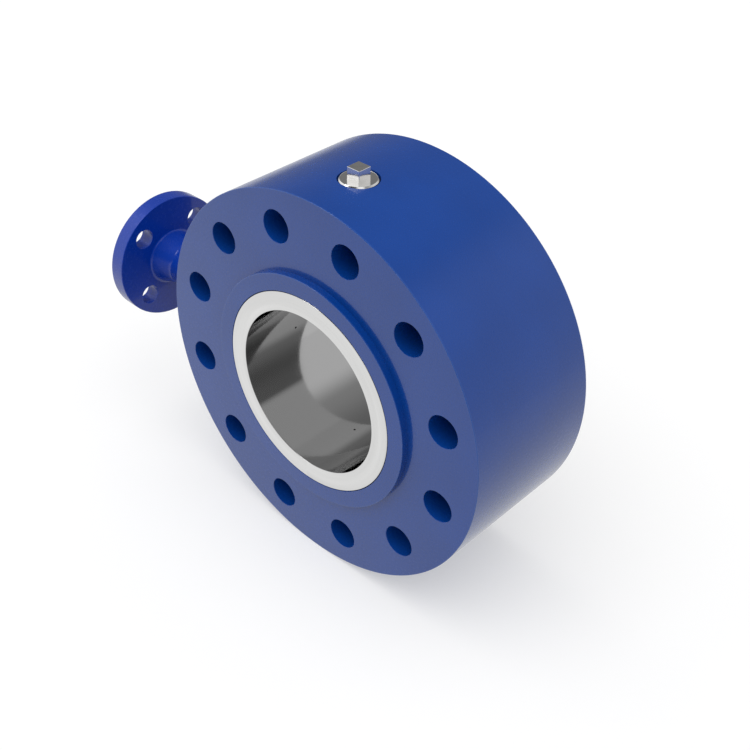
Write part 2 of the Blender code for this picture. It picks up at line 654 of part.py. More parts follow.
def build():
    """Make every piece of the desuperheater."""
    clear_scene()
    finish = make_materials()
    steam = steam_axis()
    water = radial_axis("water_axis", 180.0)
    plug = radial_axis("plug_axis", 90.0)
    jet_axes = {side: radial_axis("jet_axis_" + side, angle) for side, angle in JET_ANGLES.items()}

    body = body_ring(steam, water, plug, finish["blue_paint"])
    liner = liner_ring(steam, jet_axes, finish["polished_steel"])
    retainer = retaining_ring(steam, finish["turned_steel"])
    gasket = place("shoulder_gasket", tube(
        BODY_BORE_RADIUS + GAP, SHOULDER_RADIUS, BODY_SHOULDER + GAP, LINER_SHOULDER - GAP,
        BODY_STEPS,
    ), steam, finish["graphite"])

    screw_cutter = lock_screw_holes(steam)
    change(body, screw_cutter)
    change(retainer, screw_cutter)
    dowel_cutter = dowel_hole(steam)
    for piece in (body, liner, gasket):
        change(piece, dowel_cutter)

    for name, centre in (("front_packing_ring", -PACKING_OFFSET), ("rear_packing_ring", PACKING_OFFSET)):
        half_width = 0.5 * PACKING_WIDTH - GAP
        place(name, tube(
            LINER_RADIUS - PACKING_DEPTH + GAP, BODY_BORE_RADIUS - GAP,
            centre - half_width, centre + half_width, BODY_STEPS,
        ), steam, finish["graphite"])

    low, high = dowel_span()
    place("locating_dowel", rod(
        DOWEL_RADIUS, low, high, SMALL_STEPS, on_circle(DOWEL_CIRCLE_RADIUS, DOWEL_ANGLE),
    ), steam, finish["turned_steel"])

    changed = [body, liner, retainer, gasket]
    for place_name, degrees in LOCK_SCREW_ANGLES.items():
        changed.append(lock_screw("lock_screw_" + place_name, degrees, steam, finish["dark_steel"]))
    for side, axis in jet_axes.items():
        changed.append(spray_jet(side, axis, finish["turned_steel"]))
        place("jet_washer_" + side, tube(
            JET_SHANK_RADIUS + GAP, JET_WASHER_RADIUS,
            JET_WASHER_BASE, JET_WASHER_BASE + JET_WASHER_THICKNESS, SMALL_STEPS,
        ), axis, finish["copper"])

    changed.append(inlet_flange(water, finish["blue_paint"]))
    place("inlet_neck", tube(
        NECK_BORE_RADIUS, NECK_RADIUS, NECK_SOCKET_FLOOR + GAP, NECK_WELD_FACE, PIPE_STEPS,
    ), water, finish["blue_paint"])
    inlet_butt_weld(water, finish["blue_paint"])
    changed.append(neck_fillet_weld(steam, water, finish["blue_paint"]))
    thermal_sleeve(water, finish["turned_steel"])

    changed.append(access_plug(plug, finish["polished_steel"]))
    place("plug_washer", tube(
        PLUG_THREAD_RADIUS + GAP, PLUG_COLLAR_RADIUS, PLUG_SEAT + GAP, PLUG_WASHER_TOP, PIPE_STEPS,
    ), plug, finish["copper"])

    for piece in changed:
        settle(piece)


build()
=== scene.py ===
"""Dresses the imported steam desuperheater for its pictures.

Every piece stands where the CAD model has it, in metres: the steam flows along +Y, +Z runs up
through the access plug, and the water inlet points to -X. Each sub-assembly is a class that holds
its sizes, builds its pieces and gives them their finish.
"""

import logging
import math
from dataclasses import dataclass, field
from enum import Enum

import bmesh
import bpy
from mathutils import Euler, Matrix, Vector


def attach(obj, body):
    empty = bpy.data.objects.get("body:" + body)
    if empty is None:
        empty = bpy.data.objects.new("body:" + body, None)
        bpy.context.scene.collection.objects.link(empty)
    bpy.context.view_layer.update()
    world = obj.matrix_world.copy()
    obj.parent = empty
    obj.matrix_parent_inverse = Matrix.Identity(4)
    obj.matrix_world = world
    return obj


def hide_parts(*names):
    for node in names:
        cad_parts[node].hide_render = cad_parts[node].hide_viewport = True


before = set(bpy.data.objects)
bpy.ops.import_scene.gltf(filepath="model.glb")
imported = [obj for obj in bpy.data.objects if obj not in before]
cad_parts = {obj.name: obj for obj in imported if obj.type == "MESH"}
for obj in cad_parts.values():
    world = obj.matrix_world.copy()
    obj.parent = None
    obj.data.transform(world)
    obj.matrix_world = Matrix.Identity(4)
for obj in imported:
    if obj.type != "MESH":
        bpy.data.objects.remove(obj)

log = logging.getLogger("desuperheater")
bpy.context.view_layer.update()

Point = tuple[float, float]
Span = tuple[float, float]
Corner = tuple[float, float, float]
Place = tuple[float, float, float]
Colour = tuple[float, float, float]

# How far a tool reaches past the face that it cuts.
PAST = 0.002
# The range that most of a noise texture lies in.
MIDDLE: Span = (0.3, 0.7)
# What the enamel has wherever it is sprayed.
ENAMEL_SHINE = {"Specular_IOR_Level": 0.25, "Coat_Roughness": 0.05}


class Axis(Enum):
    """The directions that round pieces are turned about, each with the turn that brings Z to it."""

    STEAM = (-0.5 * math.pi, 0.0, 0.0)
    PLUG = (0.0, 0.0, 0.0)
    WATER = (0.0, -0.5 * math.pi, 0.0)
    RIGHT = (0.0, 0.5 * math.pi, 0.0)
    DOWN = (0.0, math.pi, 0.0)


class Cut(Enum):
    """What a Boolean modifier does with its tool."""

    REMOVE = "DIFFERENCE"
    ADD = "UNION"


class Slot(Enum):
    """Names of material slots."""

    PAINT = "blue_paint"
    POLISHED = "polished_steel"
    TURNED = "turned_steel"
    GRAPHITE = "graphite"
    COPPER = "copper"
    DARK = "dark_steel"


# Workshop


def deselect() -> None:
    """Leave edit mode and deselect every object."""
    if bpy.context.object is not None and bpy.context.object.mode != "OBJECT":
        bpy.ops.object.mode_set(mode="OBJECT")
    bpy.ops.object.select_all(action="DESELECT")


def take(piece: bpy.types.Object) -> bpy.types.Object:
    """Make one object the only selected and active one.

    Args:
        piece: The object to take.

    Returns:
        The same object.
    """
    deselect()
    piece.select_set(True)
    bpy.context.view_layer.objects.active = piece
    return piece


def settle(piece: bpy.types.Object) -> bpy.types.Object:
    """Put a piece's place and turn into its mesh.

    Args:
        piece: The object to settle.

    Returns:
        The same object, at the origin.
    """
    take(piece)
    bpy.ops.object.transform_apply(location=True, rotation=True, scale=True)
    return piece


def soften(outline: list[Corner], arc_steps: int = 4) -> list[Point]:
    """Round the corners of an outline.

    Args:
        outline: The corners as (radius, height, rounding), where rounding 0 leaves a corner sharp.
        arc_steps: The number of straight bits in each rounded corner.

    Returns:
        The outline's points as (radius, height).
    """
    points: list[Point] = []
    for index, (radius, height, rounding) in enumerate(outline):
        if rounding == 0.0:
            points.append((radius, height))
            continue
        corner = Vector((radius, height))
        before = (Vector(outline[index - 1][:2]) - corner).normalized()
        after = (Vector(outline[(index + 1) % len(outline)][:2]) - corner).normalized()
        half = 0.5 * before.angle(after)
        centre = corner + (before + after).normalized() * (rounding / math.sin(half))
        start = corner + before * (rounding / math.tan(half)) - centre
        end = corner + after * (rounding / math.tan(half)) - centre
        sweep = start.angle_signed(end)
        for step in range(arc_steps + 1):
            turn = -sweep * step / arc_steps
            points.append((
                centre.x + start.x * math.cos(turn) - start.y * math.sin(turn),
                centre.y + start.x * math.sin(turn) + start.y * math.cos(turn),
            ))
    return points


def lathe(
    name: str, outline: list[Point], axis: Axis, steps: int, solid: bool = False,
) -> bpy.types.Object:
    """Turn an outline into a closed round piece, loop by loop.

    Args:
        name: The piece's name.
        outline: The points as (radius, distance along the axis), none of them on the axis.
        axis: The direction that the piece is turned about.
        steps: The number of sides of the round piece.
        solid: True closes both ends with a face. False joins the last loop to the first.

    Returns:
        The settled piece.
    """
    deselect()
    radius, height = outline[0]
    bpy.ops.mesh.primitive_circle_add(
        vertices=steps, radius=radius, location=(0.0, 0.0, height),
        fill_type="NGON" if solid else "NOTHING",
    )
    piece = settle(bpy.context.object)
    piece.name = name
    piece.data.name = name
    bpy.ops.object.mode_set(mode="EDIT")
    bpy.ops.mesh.select_all(action="SELECT")
    for next_radius, next_height in outline[1:]:
        bpy.ops.mesh.extrude_region_move(
            TRANSFORM_OT_translate={"value": (0.0, 0.0, next_height - height)},
        )
        if next_radius != radius:
            growth = next_radius / radius
            bpy.ops.transform.resize(
                value=(growth, growth, 1.0), center_override=(0.0, 0.0, next_height),
            )
        radius, height = next_radius, next_height
    if not solid:
        bpy.ops.mesh.select_mode(type="EDGE")
        bpy.ops.mesh.select_all(action="DESELECT")
        bpy.ops.mesh.select_non_manifold()
        bpy.ops.mesh.bridge_edge_loops()
    bpy.ops.mesh.select_all(action="SELECT")
    bpy.ops.mesh.normals_make_consistent(inside=False)
    bpy.ops.object.mode_set(mode="OBJECT")
    piece.rotation_euler = axis.value
    return settle(piece)


def copy_of(piece: bpy.types.Object, name: str) -> bpy.types.Object:
    """Copy a piece with a mesh of its own.

    Args:
        piece: The piece to copy.
        name: The copy's name.

    Returns:
        The copy.
    """
    twin = piece.copy()
    twin.data = piece.data.copy()
    twin.name = name
    twin.data.name = name
    bpy.context.collection.objects.link(twin)
    return twin


def join(pieces: list[bpy.types.Object]) -> bpy.types.Object:
    """Join several objects into the first one.

    Args:
        pieces: The objects to join.

    Returns:
        The first object.
    """
    take(pieces[0])
    for piece in pieces[1:]:
        piece.select_set(True)
    if len(pieces) > 1:
        bpy.ops.object.join()
    return pieces[0]


def on_circle(
    piece: bpy.types.Object, axis: Axis, radius: float, degrees: list[float],
) -> bpy.types.Object:
    """Copy a tool around a circle and join the copies.

    Args:
        piece: The tool, made on the axis itself. It is used up.
        axis: The axis that the circle lies around.
        radius: The circle's radius.
        degrees: The places on the circle, counted from the axis's own X towards its own Y.

    Returns:
        One object that holds every copy.
    """
    copies = []
    for angle in degrees:
        twin = copy_of(piece, piece.name)
        turn = math.radians(angle)
        offset = Vector((radius * math.cos(turn), radius * math.sin(turn), 0.0))
        twin.location = turn_of(axis) @ offset
        copies.append(twin)
    bpy.data.objects.remove(piece, do_unlink=True)
    return settle(join(copies))


def turn_of(axis: Axis) -> Matrix:
    """Return the rotation that takes Z to an axis."""
    return Euler(axis.value).to_matrix()


def even(count: int) -> list[float]:
    """Return angles that share a circle evenly, half a step off its main axes."""
    return [360.0 / count * (index + 0.5) for index in range(count)]


def change(piece: bpy.types.Object, tool: bpy.types.Object, cut: Cut = Cut.REMOVE) -> None:
    """Apply a tool to a piece and throw the tool away.

    Args:
        piece: The piece that changes.
        tool: The tool's object.
        cut: What is done with the tool.
    """
    take(piece)
    bpy.ops.object.modifier_add(type="BOOLEAN")
    modifier = piece.modifiers[-1]
    modifier.operation = cut.value
    modifier.solver = "EXACT"
    modifier.object = tool
    bpy.ops.object.modifier_apply(modifier=modifier.name)
    bpy.data.objects.remove(tool, do_unlink=True)


def polish(piece: bpy.types.Object, degrees: float) -> None:
    """Shade a piece smooth up to an angle, with large faces kept flat.

    Args:
        piece: The piece to shade.
        degrees: The angle past which an edge stays sharp.
    """
    take(piece)
    bpy.ops.object.shade_smooth_by_angle(angle=math.radians(degrees))
    bpy.ops.object.modifier_add(type="WEIGHTED_NORMAL")
    modifier = piece.modifiers[-1]
    modifier.keep_sharp = True
    modifier.weight = 60
    bpy.ops.object.modifier_apply(modifier=modifier.name)


def turned_copy(master: bpy.types.Object, name: str, axis: Axis) -> bpy.types.Object:
    """Copy an upright piece and turn the copy to an axis.

    Args:
        master: The upright piece.
        name: The copy's name.
        axis: The axis that the copy points along.

    Returns:
        The settled copy.
    """
    piece = copy_of(master, name)
    piece.rotation_euler = axis.value
    return settle(piece)


def hand_over(
    piece: bpy.types.Object, node: str, finish: bpy.types.Material,
    body: str = "housing", degrees: float = 32.0,
) -> None:
    """Shade and finish a new piece, let it ride, and hide the CAD node whose place it takes.

    Args:
        piece: The new piece.
        node: The CAD node that it replaces.
        finish: The piece's material.
        body: The body that it rides on.
        degrees: The angle past which an edge stays sharp.
    """
    polish(piece, degrees)
    piece.data.materials.clear()
    piece.data.materials.append(finish)
    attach(piece, body)
    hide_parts(node)
    log.info("%s: %d faces", piece.name, len(piece.data.polygons))


# Shader maths


@dataclass(frozen=True)
class Wire:
    """A socket that can be used in sums. Each sum adds a Math node."""

    book: "Book"
    socket: bpy.types.NodeSocket

    def __add__(self, other: "Wire | float") -> "Wire":
        """Return self + other."""
        return self.book.maths("ADD", self, other)

    def __radd__(self, other: float) -> "Wire":
        """Return other + self."""
        return self.book.maths("ADD", other, self)

    def __sub__(self, other: "Wire | float") -> "Wire":
        """Return self - other."""
        return self.book.maths("SUBTRACT", self, other)

    def __rsub__(self, other: float) -> "Wire":
        """Return other - self."""
        return self.book.maths("SUBTRACT", other, self)

    def __mul__(self, other: "Wire | float") -> "Wire":
        """Return self * other."""
        return self.book.maths("MULTIPLY", self, other)

    def __rmul__(self, other: float) -> "Wire":
        """Return other * self."""
        return self.book.maths("MULTIPLY", other, self)


class Book:
    """A node tree, written as Python expressions."""

    def __init__(self, tree: bpy.types.NodeTree) -> None:
        """Open a node tree.

        Args:
            tree: The tree that the nodes go into.
        """
        self.tree = tree

    def node(
        self, kind: str, settings: dict | None = None, inputs: dict | None = None,
    ) -> bpy.types.Node:
        """Add one node.

        Args:
            kind: The node's type.
            settings: Values of the node's own properties, which are set first.
            inputs: Values or wires by socket name or number.

        Returns:
            The new node.
        """
        made = self.tree.nodes.new(kind)
        for key, value in (settings or {}).items():
            setattr(made, key, value)
        for key, value in (inputs or {}).items():
            self.feed(made.inputs[key], value)
        return made

    def feed(self, socket: bpy.types.NodeSocket, value: "Wire | float | tuple") -> None:
        """Link a wire to a socket, or set the socket's own value."""
        if isinstance(value, Wire):
            self.tree.links.new(value.socket, socket)
        else:
            socket.default_value = value

    def out(self, node: bpy.types.Node, output: str | int = 0) -> Wire:
        """Return one output of a node as a wire."""
        return Wire(self, node.outputs[output])

    def maths(self, operation: str, *values: "Wire | float") -> Wire:
        """Add a Math node and return its result."""
        made = self.node("ShaderNodeMath", {"operation": operation}, dict(enumerate(values)))
        return self.out(made)

    def place(self) -> Wire:
        """Return the Object coordinates."""
        return self.out(self.node("ShaderNodeTexCoord"), "Object")

    def split(self, vector: Wire) -> tuple[Wire, Wire, Wire]:
        """Return the three parts of a vector."""
        made = self.node("ShaderNodeSeparateXYZ", None, {0: vector})
        return self.out(made, 0), self.out(made, 1), self.out(made, 2)

    def vector(self, x: "Wire | float", y: "Wire | float", z: "Wire | float") -> Wire:
        """Return a vector made of three parts."""
        return self.out(self.node("ShaderNodeCombineXYZ", None, {0: x, 1: y, 2: z}))

    def along(self, vector: Wire, direction: Place) -> Wire:
        """Return how far a vector reaches along a direction."""
        return self.out(self.node(
            "ShaderNodeVectorMath", {"operation": "DOT_PRODUCT"}, {0: vector, 1: direction},
        ), "Value")

    def radius(self, a: Wire, b: Wire) -> Wire:
        """Return the distance of two coordinates from their axis."""
        return self.maths("SQRT", a * a + b * b)

    def noise(self, vector: Wire, scale: float, detail: float = 3.0, rough: float = 0.5) -> Wire:
        """Return a noise texture from 0 to 1.

        Args:
            vector: The coordinates.
            scale: The number of cells in a metre.
            detail: The number of finer layers.
            rough: The share of the finer layers.

        Returns:
            The noise.
        """
        made = self.node(
            "ShaderNodeTexNoise", None,
            {"Vector": vector, "Scale": scale, "Detail": detail, "Roughness": rough},
        )
        return self.out(made, 0)

    def ramp(
        self, value: Wire, low: float, high: float, start: float = 0.0, end: float = 1.0,
    ) -> Wire:
        """Map a range smoothly onto another one.

        Args:
            value: The value to map.
            low: Where the range starts.
            high: Where the range ends.
            start: The result at its start.
            end: The result at its end.

        Returns:
            The mapped value.
        """
        made = self.node(
            "ShaderNodeMapRange", {"interpolation_type": "SMOOTHSTEP"},
            {"Value": value, "From Min": low, "From Max": high, "To Min": start, "To Max": end},
        )
        return self.out(made, 0)

    def blend(self, share: Wire, first: "Wire | Colour", second: "Wire | Colour") -> Wire:
        """Mix two colours by a share from 0 to 1."""
        made = self.node("ShaderNodeMix", {"data_type": "RGBA"}, {0: share})
        for socket, colour in ((made.inputs[6], first), (made.inputs[7], second)):
            self.feed(socket, colour if isinstance(colour, Wire) else (*colour, 1.0))
        return Wire(self, made.outputs[2])

    def bump(self, height: Wire, depth: float) -> Wire:
        """Return a normal from a height that goes from 0 to 1 over a depth in metres."""
        return self.out(self.node(
            "ShaderNodeBump", None, {"Height": height, "Distance": depth, "Strength": 1.0},
        ))

    def dress(self, shader: bpy.types.Node, **sockets: "Wire | float | Colour") -> None:
        """Feed a shader's sockets, whose names have _ for spaces.

        Args:
            shader: The shader's node.
            **sockets: A wire, number or colour for each socket.
        """
        for key, value in sockets.items():
            if isinstance(value, tuple) and len(value) == 3:
                value = (*value, 1.0)
            self.feed(shader.inputs[key.replace("_", " ")], value)


class Coating(Book):
    """A material with one Principled shader."""

    def __init__(self, name: str) -> None:
        """Start a material.

        Args:
            name: The material's name.
        """
        self.material = bpy.data.materials.new(name)
        self.material.use_nodes = True
        super().__init__(self.material.node_tree)

    def finish(self, **sockets: "Wire | float | Colour") -> bpy.types.Material:
        """Feed the shader's sockets and return the material.

        Args:
            **sockets: A wire, number or colour for each socket, named with _ for spaces.

        Returns:
            The material.
        """
        self.dress(self.tree.nodes["Principled BSDF"], **sockets)
        return self.material


# Finishes


def dimmed(colour: Colour, share: float) -> Colour:
    """Return a colour at a share of its level."""
    red, green, blue = colour
    return share * red, share * green, share * blue


@dataclass(frozen=True)
class Finish:
    """What every finish has: the name of its material. Noise scales are in cells to the metre."""

    name: str


@dataclass(frozen=True)
class BlueEnamel(Finish):
    """Gloss enamel sprayed on forged steel, with a faint orange peel.

    The rims are round edges about the steam axis that get rubbed, as (radius, place along Y).
    Where a dull band is given, as two places along X, the gloss is missing between them. It
    fades out and in over the two band fades.
    """

    colour: Colour = (0.003, 0.053, 0.30)
    rubbed: Colour = (0.045, 0.120, 0.40)
    gloss_roughness: Span = (0.22, 0.30)
    peel_cell: float = 0.0030
    peel_depth: float = 0.0000022
    lacquer: float = 0.55
    cloud_scale: float = 14.0
    cloud_shades: Span = (0.94, 1.05)
    grain_scale: float = 260.0
    grain_span: Span = (0.25, 0.75)
    wear: float = 0.4
    wear_width: Span = (0.0006, 0.0019)
    wear_break: float = 0.0011
    rims: tuple[Point, ...] = ()
    dull_band: Span | None = None
    band_fades: Span = (0.0004, 0.001)

    def make(self) -> bpy.types.Material:
        """Build the material.

        Returns:
            The material.
        """
        book = Coating(self.name)
        place = book.place()
        x, y, z = book.split(place)
        radius = book.radius(x, z)
        cloud = book.noise(place, self.cloud_scale, 2.0)
        fine = book.noise(place, self.grain_scale, 4.0, 0.6)
        shade = book.ramp(cloud, *MIDDLE, *self.cloud_shades)
        tone = book.node(
            "ShaderNodeVectorMath", {"operation": "SCALE"}, {0: self.colour, "Scale": shade},
        )
        colour: Wire = book.out(tone)
        if self.rims:
            nearest: Wire | float = 1.0
            for rim_radius, rim_place in self.rims:
                gap = book.radius(radius - rim_radius, y - rim_place)
                nearest = book.maths("MINIMUM", gap, nearest)
            worn = book.ramp(nearest + self.wear_break * fine, *self.wear_width, 1.0, 0.0)
            colour = book.blend(self.wear * worn, colour, self.rubbed)
        lacquer: Wire | float = self.lacquer
        if self.dull_band:
            start, end = self.dull_band
            fade_out, fade_in = self.band_fades
            before = book.ramp(x, start, start + fade_out, self.lacquer, 0.0)
            lacquer = before + book.ramp(x, end - fade_in, end, 0.0, self.lacquer)
        peel = book.noise(place, 1.0 / self.peel_cell, 1.0)
        return book.finish(
            Base_Color=colour,
            Roughness=book.ramp(fine, *self.grain_span, *self.gloss_roughness),
            Normal=book.bump(peel, self.peel_depth),
            Coat_Weight=lacquer,
            **ENAMEL_SHINE,
        )


@dataclass(frozen=True)
class WeldPaint(Finish):
    """The same enamel over a weld, whose ripples run around the water axis."""

    colour: Colour
    lacquer: float = 0.55
    ripples: int = 46
    ripple_depth: float = 0.00025
    slant: float = 900.0
    wobble: float = 2.5
    cloud_scale: float = 300.0
    cloud_span: Span = (0.2, 0.8)
    dim: float = 0.9
    roughness: Span = (0.20, 0.30)

    def make(self) -> bpy.types.Material:
        """Build the material.

        Returns:
            The material.
        """
        book = Coating(self.name)
        place = book.place()
        x, y, z = book.split(place)
        cloud = book.noise(place, self.cloud_scale, 2.0)
        turn = book.maths("ARCTAN2", z, y)
        phase = turn * float(self.ripples) + self.slant * x + self.wobble * cloud
        wave = book.maths("SINE", phase)
        height = 0.5 + 0.4 * wave + 0.2 * cloud
        tone = book.ramp(cloud, *MIDDLE)
        return book.finish(
            Base_Color=book.blend(tone, dimmed(self.colour, self.dim), self.colour),
            Roughness=book.ramp(cloud, *self.cloud_span, *self.roughness),
            Normal=book.bump(height, self.ripple_depth),
            Coat_Weight=self.lacquer,
            **ENAMEL_SHINE,
        )


@dataclass(frozen=True)
class TurnedMetal(Finish):
    """Metal turned on a lathe, with fine marks that run around one axis.

    Where a bore radius is given, the bore is honed to a darker mirror than the faces around it
    and carries a film of oil.
    """

    colour: Colour
    roughness: float
    spread: float = 0.08
    mark_width: float = 0.00035
    mark_depth: float = 0.0000015
    honed: Colour = (0.50, 0.50, 0.50)
    bore_radius: float = 0.0
    bore_start: float = 0.0002
    bore_blend: float = 0.0003
    ring_stretch: float = 0.004
    band_scale: float = 90.0
    dim: float = 0.88
    cloud_scale: float = 45.0
    axis: Axis = Axis.STEAM

    def make(self) -> bpy.types.Material:
        """Build the material.

        Returns:
            The material.
        """
        book = Coating(self.name)
        place = book.place()
        x, y, z = book.split(place)
        along, first, second = {
            Axis.STEAM: (y, x, z), Axis.PLUG: (z, x, y), Axis.DOWN: (z, x, y),
            Axis.WATER: (x, y, z), Axis.RIGHT: (x, y, z),
        }[self.axis]
        radius = book.radius(first, second)
        turn = book.maths("ARCTAN2", first, second)
        rings = book.vector(radius, along, self.ring_stretch * turn)
        marks = book.noise(rings, 1.0 / self.mark_width, 2.0, 0.6)
        bands = book.noise(rings, self.band_scale, 3.0)
        cloud = book.noise(place, self.cloud_scale, 3.0)
        darker = dimmed(self.colour, self.dim)
        colour = book.blend(book.ramp(bands, *MIDDLE), darker, self.colour)
        oil: Wire | float = 0.0
        if self.bore_radius:
            edge = self.bore_radius + self.bore_start
            outside = book.ramp(radius, edge, edge + self.bore_blend)
            colour = book.blend(outside, self.honed, colour)
            oil = 1.0 - outside
        return book.finish(
            Base_Color=colour,
            Roughness=book.ramp(
                0.6 * marks + 0.4 * cloud, *MIDDLE, self.roughness, self.roughness + self.spread,
            ),
            Metallic=1.0,
            Normal=book.bump(marks, self.mark_depth),
            Coat_Weight=oil,
            Coat_Roughness=0.04,
        )


@dataclass(frozen=True)
class PressedGraphite(Finish):
    """Pressed graphite foil, dark grey with a faint layered glint."""

    colour: Colour = (0.030, 0.030, 0.033)
    glint: Colour = (0.10, 0.10, 0.105)
    grain_scale: float = 1400.0
    grain_span: Span = (0.45, 0.75)
    flake_scale: float = 900.0
    flake_reach: float = 0.8
    flake_depth: float = 0.00003
    roughness: Span = (0.42, 0.66)

    def make(self) -> bpy.types.Material:
        """Build the material.

        Returns:
            The material.
        """
        book = Coating(self.name)
        place = book.place()
        grain = book.noise(place, self.grain_scale, 3.0, 0.7)
        cells = book.node(
            "ShaderNodeTexVoronoi", None, {"Vector": place, "Scale": self.flake_scale},
        )
        flake = book.out(cells, "Distance")
        return book.finish(
            Base_Color=book.blend(book.ramp(grain, *self.grain_span), self.colour, self.glint),
            Roughness=book.ramp(flake, 0.0, self.flake_reach, *self.roughness),
            Metallic=0.2,
            Normal=book.bump(0.6 * grain + 0.4 * flake, self.flake_depth),
        )


@dataclass(frozen=True)
class SoftCopper(Finish):
    """Annealed copper, with warm patches and light scratches."""

    colour: Colour = (0.78, 0.35, 0.20)
    patch: Colour = (0.52, 0.17, 0.09)
    cloud_scale: float = 190.0
    cloud_span: Span = (0.4, 0.75)
    scratch_scale: float = 2600.0
    scratch_depth: float = 0.000004
    roughness: Span = (0.26, 0.42)

    def make(self) -> bpy.types.Material:
        """Build the material.

        Returns:
            The material.
        """
        book = Coating(self.name)
        place = book.place()
        cloud = book.noise(place, self.cloud_scale, 4.0, 0.6)
        scratch = book.noise(place, self.scratch_scale, 2.0)
        return book.finish(
            Base_Color=book.blend(book.ramp(cloud, *self.cloud_span), self.colour, self.patch),
            Roughness=book.ramp(cloud, *MIDDLE, *self.roughness),
            Metallic=1.0,
            Normal=book.bump(scratch, self.scratch_depth),
        )


@dataclass(frozen=True)
class Palette:
    """Every finish of the object, made once."""

    paint: bpy.types.Material
    branch_paint: bpy.types.Material
    weld_paint: bpy.types.Material
    polished: bpy.types.Material
    plug_steel: bpy.types.Material
    turned: bpy.types.Material
    sleeve_steel: bpy.types.Material
    graphite: bpy.types.Material
    copper: bpy.types.Material
    dark: bpy.types.Material


def make_palette(rims: tuple[Point, ...]) -> Palette:
    """Make the finishes.

    Args:
        rims: The body's round edges that get rubbed.

    Returns:
        The palette.
    """
    branch_blue = (0.002, 0.039, 0.36)
    steel = (0.60, 0.60, 0.595)
    return Palette(
        paint=BlueEnamel("enamel_body", rims=rims).make(),
        branch_paint=BlueEnamel("enamel_branch", branch_blue, dull_band=(-0.2495, -0.2320)).make(),
        weld_paint=WeldPaint("enamel_weld", branch_blue).make(),
        polished=TurnedMetal(
            "polished_liner", (0.70, 0.70, 0.695), 0.06, spread=0.03, mark_depth=0.0000007,
            bore_radius=0.075,
        ).make(),
        plug_steel=TurnedMetal("plug_steel", (0.91, 0.90, 0.885), 0.10, axis=Axis.PLUG).make(),
        turned=TurnedMetal("turned_steel_finish", steel, 0.26).make(),
        sleeve_steel=TurnedMetal("sleeve_steel", steel, 0.26, axis=Axis.WATER).make(),
        graphite=PressedGraphite("graphite_finish").make(),
        copper=SoftCopper("copper_finish").make(),
        dark=TurnedMetal("blackened_steel", (0.07, 0.068, 0.066), 0.34).make(),
    )


# Sub-assemblies


@dataclass(frozen=True)
class SubAssembly:
    """A group of pieces that are made in the given finishes."""

    finish: Palette


@dataclass(frozen=True)
class BodyRing(SubAssembly):
    """The thick flanged ring that the steam flanges clamp."""

    radius: float = 0.1778
    front: float = -0.0536
    back: float = 0.0836
    face_radius: float = 0.10795
    front_face: float = -0.060
    back_face: float = 0.090
    bore_radius: float = 0.0926
    rear_bore_radius: float = 0.0993
    shoulder: float = 0.052
    edge: float = 0.0005
    bolt_count: int = 12
    bolt_circle: float = 0.14605
    bolt_hole_radius: float = 0.0143
    hole_edge: float = 0.0003
    water_bore_radius: float = 0.0136
    neck_socket_radius: float = 0.0200
    neck_socket_floor: float = 0.1703
    plug_seat_radius: float = 0.0173
    plug_seat: float = 0.1714
    tap_radius: float = 0.0135
    tap_floor: float = 0.1495
    port_radius: float = 0.011
    steps: int = 256
    hole_steps: int = 64
    past: float = 0.003

    @classmethod
    def rims(cls) -> tuple[Point, ...]:
        """Return the round edges that get rubbed, as (radius, place along Y)."""
        return (
            (cls.radius, cls.front), (cls.radius, cls.back),
            (cls.face_radius, cls.front_face), (cls.face_radius, cls.back_face),
        )

    def bolt_tool(self) -> bpy.types.Object:
        """Make the tool that drills the bolt holes and breaks their edges."""
        wide = self.bolt_hole_radius + self.hole_edge
        drill = lathe("bolt_drill", [
            (wide + self.past, self.front - self.past),
            (wide, self.front),
            (self.bolt_hole_radius, self.front + self.hole_edge),
            (self.bolt_hole_radius, self.back - self.hole_edge),
            (wide, self.back),
            (wide + self.past, self.back + self.past),
        ], Axis.STEAM, self.hole_steps, solid=True)
        return on_circle(drill, Axis.STEAM, self.bolt_circle, even(self.bolt_count))

    def build(self, retainer: "Retainer") -> None:
        """Build the ring.

        Args:
            retainer: The retaining ring, whose lock screws sit half in the body.
        """
        edge = self.edge
        piece = lathe("painted_body", soften([
            (self.face_radius, self.front, 0.0),
            (self.radius, self.front, edge),
            (self.radius, self.back, edge),
            (self.face_radius, self.back, 0.0),
            (self.face_radius, self.back_face, 0.0005),
            (self.rear_bore_radius, self.back_face, 0.0003),
            (self.rear_bore_radius, self.shoulder, 0.0),
            (self.bore_radius, self.shoulder, 0.0),
            (self.bore_radius, self.front_face, 0.0002),
            (self.face_radius, self.front_face, 0.0005),
        ]), Axis.STEAM, self.steps)
        change(piece, self.bolt_tool())
        change(piece, lathe("water_drill", [
            (self.water_bore_radius, self.bore_radius - self.past),
            (self.water_bore_radius, self.neck_socket_floor),
            (self.neck_socket_radius, self.neck_socket_floor),
            (self.neck_socket_radius, self.radius + self.past),
        ], Axis.WATER, self.hole_steps, solid=True))
        change(piece, lathe("plug_drill", [
            (self.port_radius, self.bore_radius - self.past),
            (self.port_radius, self.tap_floor),
            (self.tap_radius, self.tap_floor),
            (self.tap_radius, self.plug_seat),
            (self.plug_seat_radius, self.plug_seat),
            (self.plug_seat_radius, self.radius + self.past),
        ], Axis.PLUG, self.hole_steps, solid=True))
        change(piece, retainer.lock_tool())
        hand_over(piece, "body_ring", self.finish.paint)


